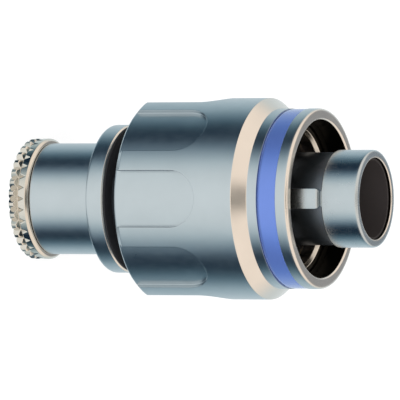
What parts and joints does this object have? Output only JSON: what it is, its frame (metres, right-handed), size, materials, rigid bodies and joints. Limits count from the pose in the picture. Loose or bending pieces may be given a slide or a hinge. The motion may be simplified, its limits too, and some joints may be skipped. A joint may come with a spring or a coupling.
{
  "type": "push-pull circular plug connector",
  "caption": "Push-pull circular plug with a sprung release sleeve, colour ring, keyed nose, latch fingers behind it, back shell with a collar, and a knurled gland nut.",
  "frame": {"origin": "centre of the gland nut's rear face, which the plug stands on", "axes": "+Z along the plug's axis towards the nose; -Y through the polarising key and the middle of one grip flat; +X to the right seen with the key in front"},
  "size_m": [0.0208, 0.0206, 0.0386],
  "materials": {
    "satin_chrome": "satin",
    "bright_nickel": "gloss",
    "spring_steel": "satin",
    "blue_ring": "gloss",
    "black_rubber": "matte",
    "black_insulator": "matte",
    "gold_plate": "polished"
  },
  "bodies": {
    "body": {"plug_body": "satin_chrome", "back_shell": "satin_chrome", "back_oring": "black_rubber", "rear_seal": "black_rubber", "snap_ring": "spring_steel", "spring_seat": "bright_nickel", "coupling_spring": "spring_steel", "latch_collet": "bright_nickel", "face_seal": "black_rubber", "insert": "black_insulator", "carrier_left": "bright_nickel", "carrier_right": "bright_nickel", "cable_gland": "black_rubber", "pressure_bush": "bright_nickel", "contact_1": "gold_plate", "contact_2": "gold_plate", "contact_3": "gold_plate", "contact_4": "gold_plate", "contact_5": "gold_plate", "contact_6": "gold_plate", "contact_7": "gold_plate", "contact_8": "gold_plate"},
    "sleeve": {"release_sleeve": "satin_chrome", "colour_ring": "blue_ring"},
    "washer": {"thrust_washer": "spring_steel"},
    "nut": {"gland_nut": "bright_nickel"}
  },
  "joints": [
    {"name": "sleeve_pull", "type": "slide", "parent": "body", "child": "sleeve", "axis": [0, 0, 1], "range_m": [-0.0019, 0], "stiffness_N_per_m": 1400, "springref_m": 0.0025, "deforming": ["coupling_spring"]},
    {"name": "washer_travel", "type": "slide", "parent": "body", "child": "washer", "axis": [0, 0, 1], "range_m": [-0.0015, 0]},
    {"name": "nut_turn", "type": "hinge", "parent": "washer", "child": "nut", "pos_m": [0, 0, 0], "axis": [0, 0, 1], "range_deg": [-1080, 0]}
  ],
  "couplings": [
    {"joint": "nut_turn", "follows": "washer_travel", "rad_per_m": 12566}
  ]
}
